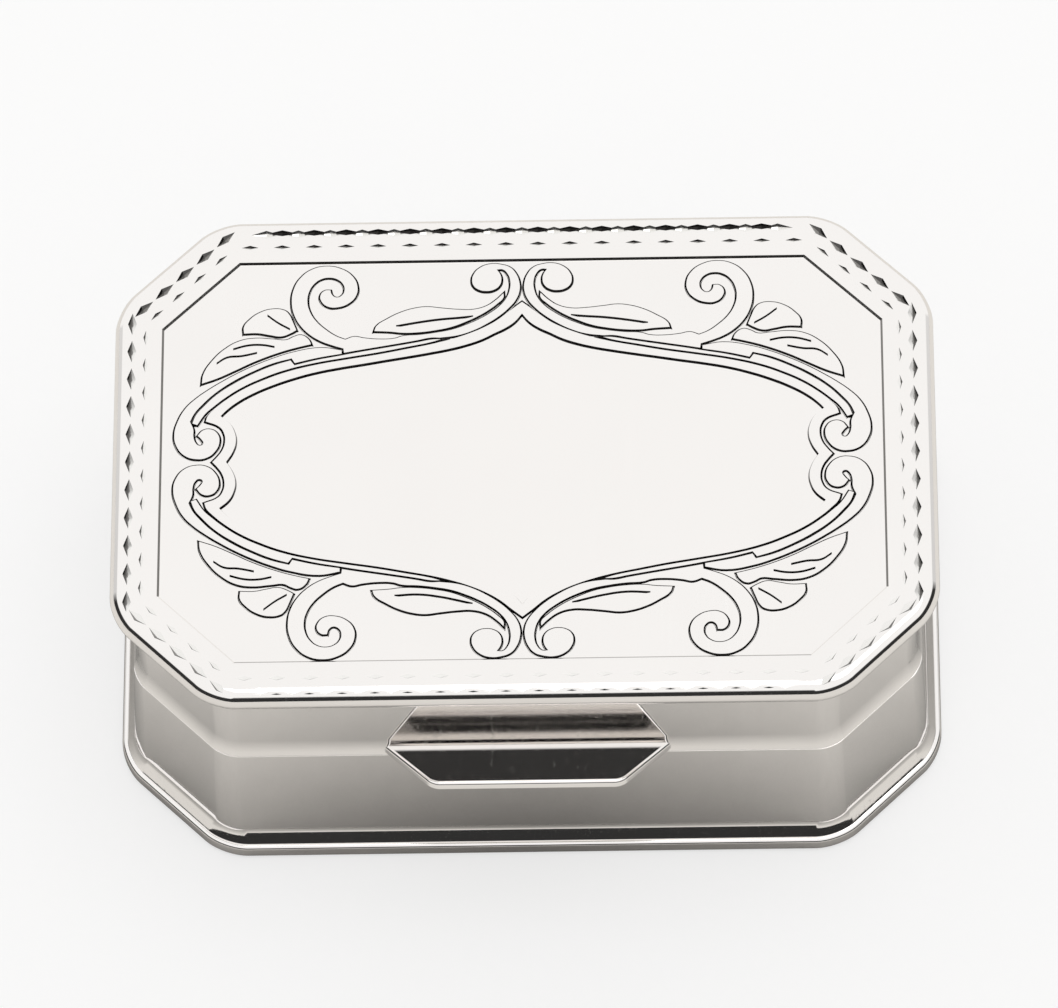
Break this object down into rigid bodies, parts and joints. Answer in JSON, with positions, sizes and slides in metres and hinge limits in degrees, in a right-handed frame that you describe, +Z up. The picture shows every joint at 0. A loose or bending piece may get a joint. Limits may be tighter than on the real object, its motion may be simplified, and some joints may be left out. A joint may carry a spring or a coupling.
{
  "type": "pill box",
  "caption": "Small hinged silver pill box with cut corners, overhanging rounded rims, a decorated lid and a front thumbpiece.",
  "frame": {"origin": "centre of the box's flat underside", "axes": "+X along the hinge, to the right seen from the thumbpiece; -Y towards the thumbpiece; +Z up"},
  "size_m": [0.0406, 0.0296, 0.0153],
  "materials": {
    "polished_silver": "mirror-polished sterling silver with fine handling scratches",
    "inner_silver": "polished silver, a little duller than the outside",
    "joint_silver": "filed and polished silver joint tube and wire"
  },
  "bodies": {
    "base": {"base_plate": "polished_silver", "base_band": "polished_silver", "bezel": "inner_silver", "base_joint_bearer": "joint_silver", "base_knuckle_left": "joint_silver", "base_knuckle_middle": "joint_silver", "base_knuckle_right": "joint_silver", "hinge_pin": "joint_silver"},
    "lid": {"lid_plate": "polished_silver", "lid_band": "polished_silver", "thumbpiece": "polished_silver", "lid_joint_bearer": "joint_silver", "lid_knuckle_left": "joint_silver", "lid_knuckle_right": "joint_silver"}
  },
  "joints": [
    {"name": "lid_hinge", "type": "hinge", "parent": "base", "child": "lid", "pos_m": [0, 0.01325, 0.0083], "axis": [-1, 0, 0], "range_deg": [0, 105]}
  ]
}
